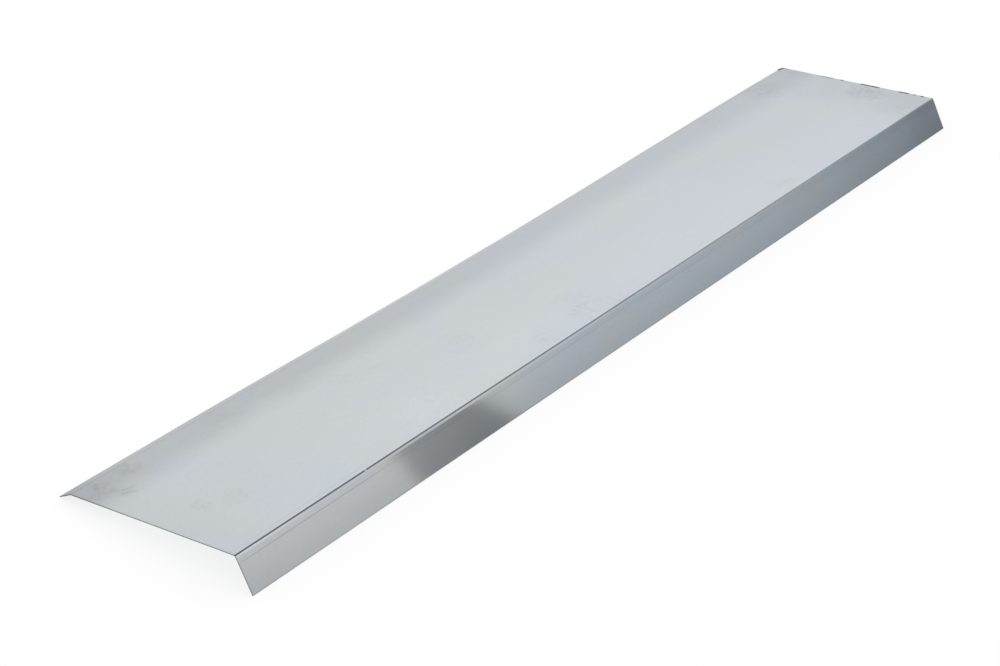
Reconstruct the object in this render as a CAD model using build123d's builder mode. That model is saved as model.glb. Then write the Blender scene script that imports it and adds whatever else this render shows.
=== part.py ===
from build123d import *
import os
from math import atan2, degrees

# Eaves flashing: one strip of galvanised sheet steel, folded twice along its length.
# The flange is nailed to the edge of the roof deck, the drip leg sheds water clear of the
# fascia, and the narrow lip along the upper edge presses down on the deck.
# The frame: +X along the eaves, +Y from the drip leg to the lip, +Z up, with the origin on
# the floor under the middle of the strip.

# Driving dimensions, in millimetres and degrees
length = 1000.0
sheet_thickness = 0.6
flange_width = 170.0
drip_leg = 32.0
drip_bend_angle = 68.0
back_lip = 11.0
lip_bend_angle = 23.0
inside_bend_radius = 1.0

# Fold line of the underside, in the flange's own axes: x to the back, y up off the flange.
# A bend angle is how far the sheet turns down from the plane of the flange.
drip_fold = Vector(0, 0)
back_fold = Vector(flange_width, 0)
drip_tip = drip_fold + Vector(drip_leg, 0).rotate(Axis.Z, 180 + drip_bend_angle)
lip_tip = back_fold + Vector(back_lip, 0).rotate(Axis.Z, -lip_bend_angle)

# Outer corners of the two long cut edges, which are the front and the back of the strip
front_corner = drip_tip + Vector(sheet_thickness, 0).rotate(Axis.Z, 90 + drip_bend_angle)
back_corner = lip_tip + Vector(sheet_thickness, 0).rotate(Axis.Z, 90 - lip_bend_angle)

# Unheld, the strip stands on the lower corners of both cut edges, so its flange slopes
# down to the back. The floor runs through the two tips.
floor_line = (lip_tip - drip_tip).normalized()
rest_slope = degrees(atan2(floor_line.Y, floor_line.X))
front_reach = (front_corner - drip_tip).dot(floor_line)
back_reach = (back_corner - drip_tip).dot(floor_line)
floor_middle = drip_tip + floor_line * ((front_reach + back_reach) / 2)

# Plane of the strip's left end, turned to the rest slope and set down on the floor
end_plane = Plane.YZ.offset(-length / 2).rotated((-rest_slope, 0, 0))
section_plane = end_plane.shift_origin(end_plane.from_local_coords(-floor_middle))

with BuildPart() as flashing:
    with BuildLine(section_plane):
        underside = [tuple(point) for point in (drip_tip, drip_fold, back_fold, lip_tip)]
        FilletPolyline(*underside, radius=inside_bend_radius)
    make_brake_formed(sheet_thickness, station_widths=length, side=Side.LEFT)

flashing.part.label = "flashing"

os.makedirs("parts", exist_ok=True)
export_step(flashing.part, "parts/flashing.step")

print(f"rest slope of the flange {rest_slope:.3f} degrees")
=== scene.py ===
from math import atan2, cos, radians, sin, tan

import bpy
from mathutils import Matrix, Vector


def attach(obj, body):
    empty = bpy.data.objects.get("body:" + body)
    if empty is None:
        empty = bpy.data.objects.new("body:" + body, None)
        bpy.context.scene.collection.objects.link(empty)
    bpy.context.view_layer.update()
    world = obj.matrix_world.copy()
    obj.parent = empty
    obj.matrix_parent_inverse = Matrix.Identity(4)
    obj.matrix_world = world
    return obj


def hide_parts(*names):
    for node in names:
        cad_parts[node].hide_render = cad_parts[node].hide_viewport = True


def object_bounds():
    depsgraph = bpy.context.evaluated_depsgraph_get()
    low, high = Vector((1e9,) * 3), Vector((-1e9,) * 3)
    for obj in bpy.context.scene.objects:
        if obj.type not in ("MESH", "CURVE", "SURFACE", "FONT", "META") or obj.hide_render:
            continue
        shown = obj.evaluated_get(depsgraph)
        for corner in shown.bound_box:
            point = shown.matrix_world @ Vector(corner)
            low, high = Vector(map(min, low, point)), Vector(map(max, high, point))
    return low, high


# Eaves flashing: one folded strip of galvanised sheet steel, lying unheld on a studio floor.
# Lengths are in metres and angles in degrees, in the frame of the solid: +X along the eaves,
# +Y from the drip leg to the back lip, +Z up. The near end of the strip is the one at -X.

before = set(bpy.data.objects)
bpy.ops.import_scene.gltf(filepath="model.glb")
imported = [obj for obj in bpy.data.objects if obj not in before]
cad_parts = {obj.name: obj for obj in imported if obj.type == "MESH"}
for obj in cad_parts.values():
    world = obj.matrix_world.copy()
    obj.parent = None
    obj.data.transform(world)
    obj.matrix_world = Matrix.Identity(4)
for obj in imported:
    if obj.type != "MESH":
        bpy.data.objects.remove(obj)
cad_low, cad_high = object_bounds()

# Section of the strip, measured on its underside
strip_length = cad_high.x - cad_low.x
half_length = strip_length / 2
sheet_thickness = 0.0006
flange_width = 0.170
drip_leg = 0.032
drip_bend_angle = 68.0
back_lip = 0.011
lip_bend_angle = 23.0
inside_bend_radius = 0.001

# Marks of the brake's die, a slight kink in the sheet on each side of the drip bend
leg_mark_distance = 0.0058
flange_mark_distance = 0.0040
die_mark_radius = 0.003
flange_mark_angle = 0.8
leg_mark_angle = 1.0

# Shoulder of the leg, a small extra turn just under the drip bend
shoulder_distance = 0.0016
shoulder_radius = 0.004
shoulder_angle = 5.0

# What cutting, folding and handling did to the strip
back_edge_lift = 0.0002
near_end_lift = 0.0021
far_end_lift = 0.0050
back_fold_skew = 0.0029
near_cut_skew = 0.0024
far_cut_skew = 0.0022
cut_pivot = 0.1
flange_waviness = 0.00025
sheared_end_burr = 0.0003

# Where that shows: shares of the half length run from -1 at the near end to 1 at the far end
near_lift_span = (-0.85, -0.1)
far_lift_span = (0.0, 1.0)
cut_skew_start = 0.7
wave_grain = (9.0, 1.0)
wave_start = 0.04
ragged_grain = (140.0, 3.0, 0.7)
end_band = 0.006
turned_up_band = 0.3 * end_band

# Flat stretches between the bends, and the turn left to the drip bend beside the smaller ones
drip_setback = inside_bend_radius * tan(radians(drip_bend_angle / 2))
lip_setback = inside_bend_radius * tan(radians(lip_bend_angle / 2))
leg_flat = drip_leg - drip_setback
flange_flat = flange_width - drip_setback - lip_setback
lip_flat = back_lip - lip_setback
leg_past_mark = 1 - leg_mark_distance / drip_leg
leg_past_shoulder = 1 - shoulder_distance / drip_leg
drip_fold_angle = (drip_bend_angle - flange_mark_angle - leg_mark_angle * leg_past_mark
                   - shoulder_angle * leg_past_shoulder)

# Slope of the flange when the strip stands on its two long cut edges
tip_drop = drip_leg * sin(radians(drip_bend_angle)) - back_lip * sin(radians(lip_bend_angle))
tip_run = (drip_leg * cos(radians(drip_bend_angle)) + flange_width
           + back_lip * cos(radians(lip_bend_angle)))
rest_slope = atan2(tip_drop, tip_run)

# Places across the flat sheet, from the drip edge
drip_bend_start = leg_flat
drip_bend_end = drip_bend_start + inside_bend_radius * radians(drip_fold_angle)
back_fold_place = drip_bend_end + flange_flat
sheet_girth = back_fold_place + inside_bend_radius * radians(lip_bend_angle) + lip_flat
leg_mark_place = drip_bend_start - leg_mark_distance
flange_mark_place = drip_bend_end + flange_mark_distance

# Mesh: edges that turn more than this stay crisp, and points closer than this become one
crisp_edge_angle = 40.0
weld_distance = 1e-6

# Colours of the zinc, with a tone of 1 for the plain tint
bluish_zinc = (0.560, 0.602, 0.648)
greyish_zinc = (0.573, 0.606, 0.628)
smudged_zinc = (0.574, 0.604, 0.628)
clean_tone = 0.98
clean_gloss = 0.17

# Grain of the zinc, as scale, detail and roughness
cloud_grain = (6.0, 3.0)
blotch_grain = (26.0, 3.0, 0.6)
streak_grain = (320.0, 2.0)
streak_stretch = 0.02
spangle_scale = 420.0
peel_grain = (500.0, 2.0)

# A nick across the drip bend, shown as a gap in the painted reflection along the bend
nick_x = -0.3605

# Smudges, the last one bright: along the strip, in front of the back fold, size and depth of tone
smudges = [
    (-0.475, 0.036, 0.012, 0.08), (-0.484, 0.018, 0.018, 0.05), (-0.452, 0.012, 0.020, 0.06),
    (-0.465, 0.096, 0.012, 0.035), (-0.437, 0.112, 0.018, 0.03), (-0.356, 0.012, 0.022, 0.025),
    (-0.258, 0.053, 0.014, 0.02), (-0.227, 0.062, 0.014, 0.02), (-0.296, 0.090, 0.012, 0.015),
    (-0.154, 0.100, 0.030, 0.02), (-0.120, 0.155, 0.022, 0.03), (-0.064, 0.152, 0.022, 0.03),
    (-0.048, 0.137, 0.028, 0.03), (-0.028, 0.161, 0.020, 0.04), (0.242, 0.156, 0.020, 0.03),
    (0.342, 0.010, 0.022, 0.02), (0.434, 0.010, 0.034, 0.05), (0.481, 0.104, 0.030, 0.07),
    (0.458, 0.160, 0.030, 0.04), (-0.262, 0.152, 0.050, -0.025)]

# Burrs on the far end: from and to, as shares of the flange from the back fold, and depth
burrs = [
    (-0.14, -0.004, 3.4), (0.002, 0.035, 0.4), (0.265, 0.35, 0.5), (0.395, 0.42, 0.8),
    (0.539, 0.669, 1.0), (0.798, 0.868, 1.0), (0.898, 0.911, 0.9), (0.943, 0.969, 0.9)]
burr_softness = 0.006


class Wiring:
    """A node tree in the making. An input given as a socket is linked, and any other value is set."""

    def __init__(self, tree):
        self.tree = tree

    def feed(self, socket, value):
        if isinstance(value, bpy.types.NodeSocket):
            self.tree.links.new(value, socket)
        else:
            socket.default_value = value

    def add(self, kind, inputs=None, **settings):
        node = self.tree.nodes.new(kind)
        for name, value in settings.items():
            setattr(node, name, value)
        for name, value in (inputs or {}).items():
            self.feed(node.inputs[name], value)
        return node

    def math(self, operation, *values):
        node = self.add("ShaderNodeMath", operation=operation)
        for socket, value in zip(node.inputs, values):
            self.feed(socket, value)
        return node.outputs[0]

    def chain(self, operation, values):
        result = values[0]
        for value in values[1:]:
            result = self.math(operation, result, value)
        return result

    def total(self, *values):
        return self.chain("ADD", values)

    def product(self, *values):
        return self.chain("MULTIPLY", values)

    def least(self, *values):
        return self.chain("MINIMUM", values)

    def most(self, *values):
        return self.chain("MAXIMUM", values)

    def less(self, first, second):
        return self.math("SUBTRACT", first, second)

    def apart(self, first, second):
        return self.math("ABSOLUTE", self.less(first, second))

    def centred(self, noise):
        """A noise about 0 in place of one about a half."""
        return self.less(noise, 0.5)

    def ramp(self, value, low, high, start=0.0, end=1.0, smooth=True):
        """Start below low, end above high, and a smooth or straight run between."""
        node = self.add(
            "ShaderNodeMapRange",
            {"Value": value, "From Min": low, "From Max": high, "To Min": start, "To Max": end},
            interpolation_type="SMOOTHSTEP" if smooth else "LINEAR")
        return node.outputs["Result"]

    def fade(self, value, low, high):
        return self.ramp(value, low, high, 1.0, 0.0)

    def noise(self, vector, scale, detail=2.0, roughness=0.5):
        node = self.add(
            "ShaderNodeTexNoise",
            {"Vector": vector, "Scale": scale, "Detail": detail, "Roughness": roughness})
        return node.outputs[0]

    def mixed(self, share, first, second):
        """A colour from first, at a share of 0, to second, at 1."""
        node = self.add("ShaderNodeMix", {"Factor": share}, data_type="RGBA")
        colours = [socket for socket in node.inputs if socket.type == "RGBA"]
        for socket, colour in zip(colours, (first, second)):
            self.feed(socket, (*colour, 1.0) if isinstance(colour, tuple) else colour)
        return next(socket for socket in node.outputs if socket.type == "RGBA")

    def point(self, x=0.0, y=0.0, z=0.0):
        return self.add("ShaderNodeCombineXYZ", {"X": x, "Y": y, "Z": z}).outputs[0]

    def parted(self, vector):
        return self.add("ShaderNodeSeparateXYZ", {"Vector": vector}).outputs

    def vector(self, operation, first, second):
        return self.add("ShaderNodeVectorMath", {0: first, 1: second}, operation=operation).outputs

    def scaled(self, vector, size):
        node = self.add("ShaderNodeVectorMath", {"Vector": vector, "Scale": size}, operation="SCALE")
        return node.outputs["Vector"]

    def object_place(self):
        return self.add("ShaderNodeTexCoord").outputs["Object"]

    def stored(self, name):
        return self.add("ShaderNodeAttribute", attribute_name=name).outputs["Fac"]

    def store(self, mesh, name, value, domain):
        node = self.add(
            "GeometryNodeStoreNamedAttribute", {"Geometry": mesh, "Name": name, "Value": value},
            data_type="FLOAT", domain=domain)
        return node.outputs["Geometry"]


# Shape of the strip


def brake_fold_group():
    """Turns the sheet down past Start, round a bend of the given inside radius."""
    tree = bpy.data.node_groups.new("brake_fold", "GeometryNodeTree")
    for name in ("Along", "Height", "Start", "Radius", "Angle"):
        tree.interface.new_socket(name, in_out="INPUT", socket_type="NodeSocketFloat")
    for name in ("Along", "Height"):
        tree.interface.new_socket(name, in_out="OUTPUT", socket_type="NodeSocketFloat")
    w = Wiring(tree)
    given = w.add("NodeGroupInput").outputs
    past = w.less(given["Along"], given["Start"])
    bent = w.most(w.math("DIVIDE", past, given["Radius"]), 0.0)
    turn = w.least(bent, given["Angle"])
    arc = w.product(given["Radius"], given["Angle"])
    straight = w.most(w.less(past, arc), 0.0)
    sine = w.math("SINE", turn)
    cosine = w.math("COSINE", turn)
    before = w.least(given["Along"], given["Start"])
    around = w.product(w.total(given["Radius"], given["Height"]), sine)
    along = w.total(before, around, w.product(straight, cosine))
    bulge = w.product(given["Radius"], w.less(1.0, cosine))
    drop = w.total(bulge, w.product(straight, sine))
    height = w.less(w.product(given["Height"], cosine), drop)
    w.add("NodeGroupOutput", {"Along": along, "Height": height})
    return tree


def from_back_fold(w, x, across):
    """How far in front of the back fold a place lies. The fold runs a little out of parallel."""
    fold_place = w.total(w.product(x, back_fold_skew / half_length), back_fold_place)
    return w.less(fold_place, across)


def burr_share(w, x, across):
    """1 or so where the sheared far end has a burr, and 0 where it is clean."""
    share = w.math("DIVIDE", from_back_fold(w, x, across), flange_flat)
    shares = []
    for start, end, depth in burrs:
        begun = w.ramp(share, start - burr_softness, start + burr_softness)
        not_ended = w.fade(share, end - burr_softness, end + burr_softness)
        shares.append(w.product(begun, not_ended, depth))
    return w.total(*shares)


def running_width(w, share, zones):
    """How far across the zones a share from 0 to 1 lies. A zone is its width and its count of steps."""
    steps_in_all = sum(steps for width, steps in zones)
    passed = 0
    parts = []
    for width, steps in zones:
        low = passed / steps_in_all
        passed += steps
        parts.append(w.ramp(share, low, passed / steps_in_all, 0.0, width, smooth=False))
    return w.total(*parts), steps_in_all


def thickened(w, underside, thickness):
    """The top pushed out from the underside, with cut faces between them and crisp edges."""
    pushed = w.add(
        "GeometryNodeExtrudeMesh",
        {"Mesh": underside, "Offset Scale": thickness, "Individual": False}, mode="FACES").outputs
    marked = w.store(pushed["Mesh"], "cut_face", pushed["Side"], "FACE")
    turned = w.add("GeometryNodeFlipFaces", {"Mesh": underside}).outputs["Mesh"]
    both = w.add("GeometryNodeJoinGeometry", {"Geometry": marked})
    w.feed(both.inputs["Geometry"], turned)
    closed = w.add(
        "GeometryNodeMergeByDistance", {"Geometry": both.outputs[0], "Distance": weld_distance})
    rounded = w.add(
        "GeometryNodeSetShadeSmooth", {"Geometry": closed.outputs[0], "Shade Smooth": True})
    edge_turn = w.add("GeometryNodeInputMeshEdgeAngle").outputs["Unsigned Angle"]
    sharp = w.math("GREATER_THAN", edge_turn, radians(crisp_edge_angle))
    crisp = w.add(
        "GeometryNodeSetShadeSmooth",
        {"Geometry": rounded.outputs[0], "Shade Smooth": False, "Selection": sharp}, domain="EDGE")
    return crisp.outputs[0]


def set_down(w, strip_mesh, front_edge):
    """The strip moved down to the floor, with its drip edge where the solid has it."""
    reach = w.add("GeometryNodeBoundBox", {"Geometry": strip_mesh})
    lowest = w.parted(reach.outputs["Min"])
    shift = w.point(0.0, w.less(front_edge, lowest["Y"]), w.product(lowest["Z"], -1.0))
    placed = w.add("GeometryNodeSetPosition", {"Geometry": strip_mesh, "Offset": shift})
    return placed.outputs[0]


def folded_strip_tree(sizes):
    """A flat blank, folded from its outer bends inwards, given its thickness and set on the floor."""
    tree = bpy.data.node_groups.new("folded_strip", "GeometryNodeTree")
    for name in sizes:
        tree.interface.new_socket(name, in_out="INPUT", socket_type="NodeSocketFloat")
    tree.interface.new_socket("Finish", in_out="INPUT", socket_type="NodeSocketMaterial")
    tree.interface.new_socket("Strip", in_out="OUTPUT", socket_type="NodeSocketGeometry")
    w = Wiring(tree)
    given = w.add("NodeGroupInput").outputs
    brake_fold = brake_fold_group()

    def fold(along, height, start, radius, angle):
        node = w.add("GeometryNodeGroup", node_tree=brake_fold)
        for name, value in zip(("Along", "Height", "Start", "Radius", "Angle"),
                               (along, height, start, radius, angle)):
            w.feed(node.inputs[name], value)
        return node.outputs["Along"], node.outputs["Height"]

    # The blank: a unit grid whose steps are spent where the bends and the cut ends need them
    blank = w.add("GeometryNodeMeshGrid", {"Size X": 1.0, "Size Y": 1.0})
    blank_place = w.parted(w.add("GeometryNodeInputPosition").outputs[0])
    along_share = w.total(blank_place["X"], 0.5)
    across_share = w.total(blank_place["Y"], 0.5)
    long_middle = w.less(given["Length"], 2 * end_band)
    run, along_steps = running_width(
        w, along_share, [(end_band, 4), (long_middle, 220), (end_band, 6)])
    x = w.less(run, w.product(given["Length"], 0.5))
    end_to_end = w.math("DIVIDE", x, w.product(given["Length"], 0.5))
    skew = w.product(given["Fold Skew"], end_to_end)

    drip_arc = w.product(given["Bend Radius"], given["Drip Fold"])
    lip_arc = w.product(given["Bend Radius"], given["Lip Fold"])
    leg_mark_arc = w.product(given["Mark Radius"], given["Leg Mark"])
    shoulder_arc = w.product(given["Shoulder Radius"], given["Shoulder"])
    flange_mark_arc = w.product(given["Mark Radius"], given["Flange Mark"])
    leg_mark = given["Leg Mark Distance"]
    flange_mark = given["Flange Mark Distance"]
    shoulder = given["Shoulder Distance"]
    leg_rest = w.less(given["Leg Flat"], w.total(leg_mark, leg_mark_arc))
    mark_to_shoulder = w.less(leg_mark, w.total(shoulder, shoulder_arc))
    flange_rest = w.less(w.total(given["Flange Flat"], skew), w.total(flange_mark, flange_mark_arc))
    lip_rest = w.less(given["Lip Flat"], skew)
    across, across_steps = running_width(w, across_share, [
        (leg_rest, 9), (leg_mark_arc, 2), (mark_to_shoulder, 2), (shoulder_arc, 4), (shoulder, 3),
        (drip_arc, 12), (flange_mark, 4), (flange_mark_arc, 2), (flange_rest, 56),
        (lip_arc, 5), (lip_rest, 5)])
    blank.inputs["Vertices X"].default_value = along_steps + 1
    blank.inputs["Vertices Y"].default_value = across_steps + 1
    measured = w.store(blank.outputs["Mesh"], "along", x, "POINT")
    measured = w.store(measured, "across", across, "POINT")

    # Front folds, made from the leg's die mark back to the flange's
    drip_start = w.total(flange_mark_arc, flange_mark)
    shoulder_start = w.total(drip_start, drip_arc, shoulder)
    leg_mark_start = w.total(drip_start, drip_arc, leg_mark)
    front_width = w.total(leg_mark_start, leg_mark_arc, leg_rest)
    front = w.most(w.less(front_width, across), 0.0)
    front, rise = fold(front, 0.0, leg_mark_start, given["Mark Radius"], given["Leg Mark"])
    front, rise = fold(front, rise, shoulder_start, given["Shoulder Radius"], given["Shoulder"])
    front, rise = fold(front, rise, drip_start, given["Bend Radius"], given["Drip Fold"])
    front, rise = fold(front, rise, 0.0, given["Mark Radius"], given["Flange Mark"])

    # The flat of the flange and the back fold
    past_front = w.most(w.less(across, front_width), 0.0)
    flat = w.least(past_front, flange_rest)
    back, back_rise = fold(w.less(past_front, flat), 0.0, 0.0, given["Bend Radius"], given["Lip Fold"])
    y = w.less(w.total(flat, back), front)

    # Warp: both ends of the flange stand up a little, and the flat waves
    lift = w.total(given["Back Lift"],
                   w.product(given["Far Lift"], w.ramp(end_to_end, *far_lift_span)),
                   w.product(given["Near Lift"], w.fade(end_to_end, *near_lift_span)))
    off_bend = w.math("DIVIDE", w.total(flat, back), given["Flange Flat"])
    wave = w.centred(w.noise(w.point(x, across), *wave_grain))
    wave = w.product(wave, 2.0, given["Waviness"], w.ramp(flat, 0.0, wave_start))

    # Both ends are cut a little out of square, and the far one is ragged and turned up in places
    past_pivot = w.less(w.math("DIVIDE", across, sheet_girth), cut_pivot)
    out_of_square = w.total(
        w.product(given["Near Cut Skew"], w.ramp(end_to_end, -1.0, -cut_skew_start, -1.0, 0.0)),
        w.product(given["Far Cut Skew"], w.ramp(end_to_end, cut_skew_start, 1.0)))
    at_far_end = w.ramp(x, half_length - end_band, half_length)
    at_far_edge = w.ramp(x, half_length - turned_up_band, half_length)
    ragged = w.centred(w.noise(w.point(across), *ragged_grain))
    burr = burr_share(w, x, across)
    x = w.total(x, w.product(ragged, 2.0, given["End Burr"], at_far_end),
                w.product(past_pivot, out_of_square))
    z = w.total(rise, back_rise, w.product(lift, off_bend), wave,
                w.product(burr, given["End Burr"], at_far_edge))

    # Turned to the slope at which it rests, thickened and set down
    slope_sine = w.math("SINE", given["Rest Slope"])
    slope_cosine = w.math("COSINE", given["Rest Slope"])
    rest_y = w.total(w.product(y, slope_cosine), w.product(z, slope_sine))
    rest_z = w.less(w.product(z, slope_cosine), w.product(y, slope_sine))
    underside = w.add(
        "GeometryNodeSetPosition",
        {"Geometry": measured, "Position": w.point(x, rest_y, rest_z)}).outputs[0]
    placed = set_down(w, thickened(w, underside, given["Thickness"]), given["Front Edge"])
    plain = w.add("GeometryNodeRealizeInstances", {"Geometry": placed})
    finished = w.add(
        "GeometryNodeSetMaterial", {"Geometry": plain.outputs[0], "Material": given["Finish"]})
    w.add("NodeGroupOutput", {"Strip": finished.outputs[0]})
    return tree


# Finish of the strip. A span is where a mark comes in or fades out, and a share runs from 0 to 1


class OnSheet:
    """Where a point of the finish lies on the flat sheet, and how cloudy the zinc is there."""

    def __init__(self, w):
        self.x = w.stored("along")
        self.across = w.stored("across")
        self.flat = w.point(self.x, self.across)
        self.from_back = from_back_fold(w, self.x, self.across)
        self.from_far_end = w.less(half_length, self.x)
        self.from_near_end = w.total(half_length, self.x)
        self.clouds = w.noise(self.flat, *cloud_grain)
        self.blotches = w.noise(self.flat, *blotch_grain)


def line_share(w, at, place, width):
    """1 on a line along the strip, fading to 0 at a width from it."""
    return w.fade(w.apart(at.across, place), 0.0, width)


def back_band_dulling_and_reflection_share(w, at):
    """The darker band along the back of the flange, a painted reflection, with a slightly rougher coat
    too; ragged in front and weaker toward the far end.
    """
    front_span = (0.013, 0.052)
    raggedness = 0.016
    weaker_span = (-0.35, 0.35)
    far_share = 0.6
    cloud_span = (0.25, 0.6)
    cloud_share = 0.9
    ragged = w.total(at.from_back, w.product(w.centred(at.blotches), raggedness))
    return w.product(w.fade(ragged, *front_span), w.ramp(at.x, *weaker_span, 1.0, far_share),
                     w.ramp(at.clouds, *cloud_span, cloud_share, 1.0))


def near_corner_painted_shade_share(w, at):
    """Painted shade: the darker back corner at the near end."""
    reach = 0.07
    return w.product(w.fade(at.from_back, 0.0, reach), w.fade(at.from_near_end, 0.0, reach))


def far_band_share(w, at):
    """The darker and blotchy band before the far end."""
    span = (0.005, 0.09)
    blotch_span = (0.35, 0.6)
    clean_share = 0.6
    return w.product(w.fade(at.from_far_end, *span),
                     w.ramp(at.blotches, *blotch_span, clean_share, 1.0))


def bright_front_share(w, at):
    """The brighter front of the flange, away from both ends."""
    front_span = (0.045, 0.15)
    near_span = (0.05, 0.25)
    far_span = (0.0, 0.12)
    return w.product(w.ramp(at.from_back, *front_span), w.ramp(at.from_near_end, *near_span),
                     w.ramp(at.from_far_end, *far_span))


def back_crease_painted_shade_share(w, at):
    """Painted shade: a dark line just behind the back fold, in the near half."""
    behind_fold = 0.0008
    width = 0.0025
    ending_span = (-0.45, 0.1)
    off_fold = w.apart(at.from_back, -behind_fold)
    return w.product(w.fade(off_fold, 0.0, width), w.fade(at.x, *ending_span))


def drip_bend_painted_reflection_share(w, at):
    """A painted reflection: a dark line round the drip bend, most at the near end, broken by one nick.
    """
    bend_middle = (drip_bend_start + drip_bend_end) / 2
    bend_arc = drip_bend_end - drip_bend_start
    toward_leg = 0.12 * bend_arc
    dark_span = (0.2 * bend_arc, 0.55 * bend_arc)
    weaker_span = (-0.5, 0.3)
    far_share = 0.64
    nick_slant = 0.6
    nick_span = (0.0002, 0.0011)
    off_bend = w.less(at.across, bend_middle - toward_leg)
    dark = w.fade(w.math("ABSOLUTE", off_bend), *dark_span)
    off_nick = w.apart(w.total(at.x, w.product(off_bend, nick_slant)), nick_x)
    return w.product(dark, w.ramp(at.x, *weaker_span, 1.0, far_share), w.ramp(off_nick, *nick_span))


def bend_foot_painted_light_tone(w, at):
    """The foot of the drip bend: a painted highlight at the near end and painted shade along the rest.
    """
    below_bend = 0.0006
    width = 0.0014
    dulling_span = (-0.49, -0.40)
    painted_highlight_tone = 0.09
    painted_shade_tone = -0.135
    weaker_span = (0.10, 0.35)
    far_share = 0.2
    return w.product(line_share(w, at, drip_bend_start - below_bend, width),
                     w.ramp(at.x, *dulling_span, painted_highlight_tone, painted_shade_tone),
                     w.ramp(at.x, *weaker_span, 1.0, far_share))


def shoulder_painted_highlight_share(w, at):
    """A painted highlight on the top of the leg at the near end, between the die mark and the bend."""
    soft_edge = 0.001
    ending_span = (-0.42, -0.37)
    return w.product(w.ramp(at.across, leg_mark_place, leg_mark_place + soft_edge),
                     w.fade(at.across, drip_bend_start, drip_bend_end),
                     w.fade(at.x, *ending_span))


def smudge_depth(w, at):
    """The tone that the smudges take away. They are ragged in outline, and speckled."""
    outline_scale = 60.0
    outline_detail = 3.0
    raggedness = 0.035
    core = 0.2
    speck_grain = (200.0, 3.0, 0.6)
    speck_span = (0.35, 0.65)
    speck_shares = (0.3, 1.8)
    wander = w.add(
        "ShaderNodeTexNoise",
        {"Vector": at.flat, "Scale": outline_scale, "Detail": outline_detail}).outputs["Color"]
    wander = w.vector("SUBTRACT", wander, (0.5, 0.5, 0.5))[0]
    wandering = w.vector("ADD", at.flat, w.scaled(wander, raggedness))[0]
    spots = []
    for along, before_fold, size, depth in smudges:
        centre = (along, back_fold_place - before_fold, 0.0)
        away = w.vector("DISTANCE", wandering, centre)["Value"]
        spots.append(w.ramp(away, core * size, size, depth, 0.0))
    specks = w.ramp(w.noise(at.flat, *speck_grain), *speck_span, *speck_shares)
    return w.product(w.total(*spots), specks)


def die_mark_share(w, at):
    """The lines that the die left on leg and flange, broken here and there, and uneven."""
    leg_line = 0.0008
    flange_line = 0.0010
    flange_share = 0.4
    break_row = 0.7
    break_grain = (14.0, 2.0)
    break_span = (0.35, 0.55)
    broken_share = 0.3
    near_span = (-0.36, -0.22)
    near_shares = (0.55, 0.0)
    far_span = (0.1, 0.4)
    far_shares = (0.45, 0.1)
    whole = w.ramp(w.noise(w.point(at.x, break_row), *break_grain), *break_span, broken_share, 1.0)
    strength = w.total(w.ramp(at.x, *near_span, *near_shares), w.ramp(at.x, *far_span, *far_shares))
    on_flange = w.product(line_share(w, at, flange_mark_place, flange_line), flange_share)
    on_both = w.total(line_share(w, at, leg_mark_place, leg_line), on_flange)
    return w.product(on_both, whole, strength)


def cut_edge_share(w, at):
    """The darker rim all round the sheet, beside its cut."""
    rim_span = (0.0003, 0.0014)
    from_ends = w.least(at.from_near_end, at.from_far_end)
    from_sides = w.least(at.across, w.less(sheet_girth, at.across))
    return w.fade(w.least(from_ends, from_sides), *rim_span)


def burr_painted_shade_share(w, at):
    """Painted shade on the turned-up burrs of the far end."""
    burr_span = (0.0016, 0.0028)
    return w.product(burr_share(w, at.x, at.across), w.fade(at.from_far_end, *burr_span))


def zinc_tint(w, at, smudge):
    """The zinc's colour, which drifts between bluish and greyish, and the smudges' own."""
    hue_layer = 0.3
    hue_grain = (16.0, 3.0, 0.6)
    hue_span = (0.35, 0.65)
    front_span = (0.10, 0.16)
    front_shift = -0.10
    band_rise = (0.03, 0.07)
    band_fall = (0.07, 0.12)
    band_shift = 0.08
    drift_span = (-0.12, 0.06)
    drift_shifts = (0.07, -0.10)
    flange_edge = (0.155, 0.172)
    leg_span = (0.166, 0.175)
    leg_shift = 0.08
    smudge_span = (0.0, 0.06)
    smudge_share = 0.6
    hues = w.total(
        w.noise(w.point(at.x, at.across, hue_layer), *hue_grain),
        w.product(w.ramp(at.from_back, *front_span), front_shift),
        w.product(w.ramp(at.from_back, *band_rise), w.ramp(at.from_back, *band_fall, band_shift, 0.0)),
        w.product(w.ramp(at.x, *drift_span, *drift_shifts), w.fade(at.from_back, *flange_edge)),
        w.ramp(at.from_back, *leg_span, 0.0, leg_shift))
    tint = w.mixed(w.ramp(hues, *hue_span), bluish_zinc, greyish_zinc)
    return w.mixed(w.ramp(smudge, *smudge_span, 0.0, smudge_share), tint, smudged_zinc)


def weighed(w, start, marks):
    """A start value and what each mark adds to it, for marks given as a share and its weight."""
    return w.total(start, *[w.product(share, weight) for share, weight in marks])


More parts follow.
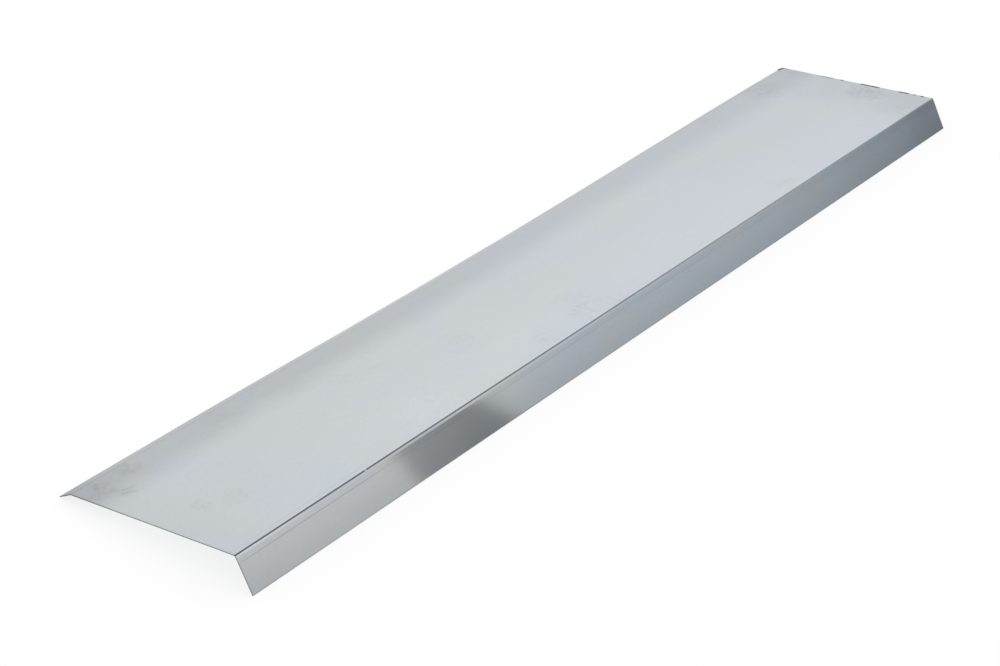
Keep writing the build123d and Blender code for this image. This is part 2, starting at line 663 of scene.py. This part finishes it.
def galvanised_sheet():
    """Zinc-coated sheet: cool satin grey with soft clouds, smudges, die marks and cut edges, and
    painted shade, highlights and reflections.
    """
    far_half_span = (0.05, 0.45)
    near_band_span = (0.0, 0.06)
    leg_foot_shade_span = (0.0, 0.024)
    cut_face_span = (0.4, 0.6)
    cut_face_tone = 0.3
    burr_shade_tone = 0.25
    bend_reflection_depth = 0.80
    material = bpy.data.materials.new("galvanised_sheet")
    material.use_nodes = True
    w = Wiring(material.node_tree)
    shader = material.node_tree.nodes["Principled BSDF"]
    at = OnSheet(w)
    cut_face = w.stored("cut_face")
    streaks = w.noise(w.point(w.product(at.x, streak_stretch), at.across), *streak_grain)
    spangle = w.add("ShaderNodeTexVoronoi", {"Vector": at.flat, "Scale": spangle_scale})
    spangle = w.add("ShaderNodeSeparateColor", {"Color": spangle.outputs["Color"]}).outputs[0]
    smudge = smudge_depth(w, at)
    back_band_dulling_and_reflection = back_band_dulling_and_reflection_share(w, at)
    die_marks = die_mark_share(w, at)
    cut_edge = cut_edge_share(w, at)

    # Colour: the marks lighten or darken the zinc, some as painted shade, highlights and reflections;
    # the cut faces' bare steel, painted shade on the burrs and the painted reflection round the drip
    # bend darken it further
    tone = weighed(w, clean_tone, [
        (w.centred(at.clouds), 0.06),
        (w.centred(streaks), 0.015),
        (w.centred(spangle), 0.02),
        (bright_front_share(w, at), 0.05),
        (smudge, -1.0),
        (back_band_dulling_and_reflection, -0.175),
        (near_corner_painted_shade_share(w, at), -0.08),
        (back_crease_painted_shade_share(w, at), -0.10),
        (far_band_share(w, at), -0.10),
        (w.fade(at.from_far_end, *far_half_span), -0.035),
        (w.fade(at.from_near_end, *near_band_span), -0.03),
        # Painted shade: the leg darker toward its drip edge
        (w.fade(at.across, *leg_foot_shade_span), -0.11),
        (bend_foot_painted_light_tone(w, at), 1.0),
        (shoulder_painted_highlight_share(w, at), 0.02),
        (die_marks, -0.21),
        (cut_edge, -0.18)])
    tone = w.product(tone, w.ramp(cut_face, *cut_face_span, 1.0, cut_face_tone),
                     w.ramp(burr_painted_shade_share(w, at), 0.0, 1.0, 1.0, burr_shade_tone),
                     w.less(1.0, w.product(drip_bend_painted_reflection_share(w, at), bend_reflection_depth)))
    w.feed(shader.inputs["Base Color"], w.scaled(zinc_tint(w, at, smudge), tone))

    # Gloss
    gloss = weighed(w, clean_gloss, [
        (w.centred(at.clouds), 0.06),
        (smudge, 0.6),
        (back_band_dulling_and_reflection, 0.06),
        (cut_edge, 0.12),
        (cut_face, 0.2)])
    w.feed(shader.inputs["Roughness"], gloss)
    shader.inputs["Metallic"].default_value = 1.0

    # Relief of the coat and the die marks, as shares of the bump's distance
    peel_height = 0.10
    spangle_height = 0.03
    mark_height = -1.0
    peel = w.noise(w.object_place(), *peel_grain)
    relief = w.total(w.product(peel, peel_height), w.product(spangle, spangle_height),
                     w.product(die_marks, mark_height))
    bump = w.add("ShaderNodeBump", {"Height": relief, "Strength": 0.10, "Distance": 0.0002})
    w.feed(shader.inputs["Normal"], bump.outputs["Normal"])
    return material


def make_strip():
    """The strip as a plain mesh, folded by its node tree and then freed from it."""
    sizes = {
        "Length": strip_length, "Thickness": sheet_thickness, "Leg Flat": leg_flat,
        "Flange Flat": flange_flat, "Lip Flat": lip_flat, "Bend Radius": inside_bend_radius,
        "Drip Fold": radians(drip_fold_angle), "Lip Fold": radians(lip_bend_angle),
        "Leg Mark Distance": leg_mark_distance, "Flange Mark Distance": flange_mark_distance,
        "Mark Radius": die_mark_radius, "Shoulder Distance": shoulder_distance,
        "Shoulder Radius": shoulder_radius, "Shoulder": radians(shoulder_angle),
        "Flange Mark": radians(flange_mark_angle), "Leg Mark": radians(leg_mark_angle),
        "Rest Slope": rest_slope, "Back Lift": back_edge_lift, "Near Lift": near_end_lift,
        "Far Lift": far_end_lift, "Near Cut Skew": near_cut_skew, "Far Cut Skew": far_cut_skew,
        "Fold Skew": back_fold_skew, "Waviness": flange_waviness, "End Burr": sheared_end_burr,
        "Front Edge": cad_low.y}
    tree = folded_strip_tree(sizes)
    strip = bpy.data.objects.new("folded_strip", bpy.data.meshes.new("folded_strip"))
    bpy.context.scene.collection.objects.link(strip)
    modifier = strip.modifiers.new("folding", "NODES")
    modifier.node_group = tree
    values = dict(sizes, Finish=galvanised_sheet())
    for item in tree.interface.items_tree:
        if item.in_out == "INPUT":
            modifier[item.identifier] = values[item.name]
    graph = bpy.context.evaluated_depsgraph_get()
    folded = bpy.data.meshes.new_from_object(
        strip.evaluated_get(graph), preserve_all_data_layers=True, depsgraph=graph)
    strip.modifiers.clear()
    strip.data = folded
    return strip


strip = make_strip()
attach(strip, "root")
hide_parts("flashing")

# Studio: a white floor, even white light, and plates that only the metal sees
white = (1.0, 1.0, 1.0, 1.0)


def plate(name, corners, faces=None):
    """A stage plate, as one face through all its corners unless its faces are given."""
    mesh = bpy.data.meshes.new(name)
    mesh.from_pydata(corners, [], faces or [tuple(range(len(corners)))])
    made = bpy.data.objects.new(name, mesh)
    bpy.context.scene.collection.objects.link(made)
    return made


def seen_only_in_the_metal(card):
    card.visible_camera = False
    card.visible_diffuse = False
    card.visible_shadow = False


def empty_finish(card, name):
    """The wiring of a new material on a stage plate, with nothing in it yet."""
    finish = bpy.data.materials.new(name)
    finish.use_nodes = True
    finish.node_tree.nodes.clear()
    card.data.materials.append(finish)
    return Wiring(finish.node_tree)


def glow(w, colour, strength=1.0):
    return w.add("ShaderNodeEmission", {"Color": colour, "Strength": strength}).outputs[0]


def blended(w, share, first, second):
    """A surface from first, at a share of 0, to second, at 1."""
    node = w.add("ShaderNodeMixShader", {"Fac": share})
    w.feed(node.inputs[1], first)
    w.feed(node.inputs[2], second)
    return node.outputs[0]


def graded(w, place, low, high, tones):
    """A colour graded along a plate from low to high, through tones given with their places."""
    grade = w.add("ShaderNodeValToRGB", {"Fac": w.ramp(place, low, high, smooth=False)})
    stops = grade.color_ramp.elements
    while len(stops) < len(tones):
        stops.new(0.5)
    for stop, (tone_place, tone) in zip(stops, tones):
        stop.position = (tone_place - low) / (high - low)
        stop.color = (*tone, 1.0)
    return grade.outputs["Color"]


def white_floor():
    """White where the camera or the metal looks at it, with a light soft shadow."""
    reach = 30.0
    own_light = 0.78
    floor = plate("floor", [(-reach, -reach, 0), (reach, -reach, 0),
                            (reach, reach, 0), (-reach, reach, 0)])
    w = empty_finish(floor, "white_floor")
    light_path = w.add("ShaderNodeLightPath").outputs
    looked_at = w.most(light_path["Is Camera Ray"], light_path["Is Glossy Ray"],
                       light_path["Is Transmission Ray"])
    matt_white = w.add("ShaderNodeBsdfDiffuse", {"Color": white}).outputs[0]
    surface = blended(w, w.product(looked_at, own_light), matt_white, glow(w, white))
    w.add("ShaderNodeOutputMaterial", {"Surface": surface})


def graded_side_wall():
    """A low grey wall past the far end, graded along its length. The leg shows it."""
    wall_x = 2.0
    low_y = -6.0
    high_y = 0.0
    height = 2.2
    top_at_end = 0.29
    top_slope = 0.28
    top_span = (-0.1, 0.2)
    end_span = (-0.6, -0.1)
    tones = [
        (-6.0, (0.97, 0.95, 0.93)), (-3.4, (0.84, 0.82, 0.79)), (-2.7, (0.78, 0.765, 0.735)),
        (-2.3, (0.63, 0.648, 0.655)), (-1.75, (0.58, 0.608, 0.63)), (-1.45, (0.505, 0.538, 0.552)),
        (-1.2, (0.355, 0.386, 0.412)), (-0.9, (0.205, 0.214, 0.243))]
    wall = plate("side_wall", [(wall_x, low_y, 0), (wall_x, high_y, 0),
                               (wall_x, high_y, height), (wall_x, low_y, height)])
    w = empty_finish(wall, "side_wall")
    place = w.parted(w.object_place())
    top = w.less(top_at_end, w.product(place["Y"], top_slope))
    under_top = w.fade(w.less(place["Z"], top), *top_span)
    before_end = w.fade(place["Y"], *end_span)
    clear = w.add("ShaderNodeBsdfTransparent").outputs[0]
    grey = glow(w, graded(w, place["Y"], low_y, high_y, tones))
    surface = blended(w, w.product(under_top, before_end), clear, grey)
    w.add("ShaderNodeOutputMaterial", {"Surface": surface})
    seen_only_in_the_metal(wall)


def grey_walls(name, height, plan):
    """Walls on a plan of corners, darkest at the floor and fading out upwards."""
    foot_tone = 0.55
    corners = [(x, y, z) for x, y in plan for z in (0.0, height)]
    faces = [(2 * k, 2 * k + 2, 2 * k + 3, 2 * k + 1) for k in range(len(plan) - 1)]
    walls = plate(name, corners, faces)
    w = empty_finish(walls, name)
    up = w.parted(w.object_place())["Z"]
    tone = w.ramp(up, 0.0, height, foot_tone, 1.0, smooth=False)
    w.add("ShaderNodeOutputMaterial", {"Surface": glow(w, white, tone)})
    seen_only_in_the_metal(walls)


def dark_card():
    """A small dark card on the floor before the leg, which shows it as a dark patch."""
    low_x = -0.211
    high_x = -0.068
    top_high_x = -0.113
    card_y = -0.222
    height = 0.086
    tint = (0.99, 1.0, 0.99, 1.0)
    tone_span = (-0.18, -0.12)
    tones = (0.385, 0.31)
    card = plate("dark_card", [(low_x, card_y, 0), (high_x, card_y, 0),
                               (top_high_x, card_y, height), (low_x, card_y, height)])
    w = empty_finish(card, "dark_card")
    along = w.parted(w.object_place())["X"]
    w.add("ShaderNodeOutputMaterial", {"Surface": glow(w, tint, w.ramp(along, *tone_span, *tones))})
    seen_only_in_the_metal(card)


def pale_floor_strip():
    """A pale grey strip just over the floor behind the lip, which shows it."""
    low_x = -0.7
    high_x = 0.9
    low_y = 0.10
    high_y = 0.60
    over_floor = 0.0005
    greys = [(-0.5, 0.67), (-0.44, 0.78), (-0.3, 0.80), (0.0, 0.78), (0.25, 0.79), (0.5, 0.75)]
    tones = [(place, (grey, grey, grey)) for place, grey in greys]
    grey_strip = plate("grey_strip", [(low_x, low_y, over_floor), (high_x, low_y, over_floor),
                                      (high_x, high_y, over_floor), (low_x, high_y, over_floor)])
    w = empty_finish(grey_strip, "grey_strip")
    along = w.parted(w.object_place())["X"]
    w.add("ShaderNodeOutputMaterial", {"Surface": glow(w, graded(w, along, low_x, high_x, tones))})
    seen_only_in_the_metal(grey_strip)


def white_light():
    """Even white light from all round."""
    world = bpy.data.worlds.new("studio")
    bpy.context.scene.world = world
    world.use_nodes = True
    world.node_tree.nodes["Background"].inputs["Color"].default_value = white
    world.node_tree.nodes["Background"].inputs["Strength"].default_value = 1.0


def photo_camera():
    """The camera at the photograph's place, for a frame of 1000 by 666 pixels."""
    place = Vector((-1.4399, -1.0301, 0.9871))
    aim = Vector((-0.1208, -0.0208, 0.0150))
    roll_angle = 1.150
    camera_data = bpy.data.cameras.new("camera")
    camera_data.sensor_width = 36.0
    camera_data.lens = 83.704
    camera_data.clip_end = 100.0
    camera = bpy.data.objects.new("camera", camera_data)
    level = (aim - place).to_track_quat("-Z", "Y").to_matrix()
    roll = Matrix.Rotation(radians(roll_angle), 3, "Z")
    camera.matrix_world = Matrix.Translation(place) @ (level @ roll).to_4x4()
    bpy.context.scene.collection.objects.link(camera)
    bpy.context.scene.camera = camera


white_floor()
graded_side_wall()
grey_walls("tall_walls", 2.0, [(1.6, 4.0), (-4.0, 4.0), (-4.0, -4.0), (1.0, -4.0)])
grey_walls("end_wall", 2.0, [(4.0, -1.0), (4.0, 1.0)])
grey_walls("low_walls", 0.7, [(4.0, 1.0), (4.0, 4.0), (1.6, 4.0)])
dark_card()
pale_floor_strip()
white_light()
photo_camera()
bpy.context.scene.view_settings.view_transform = "Standard"
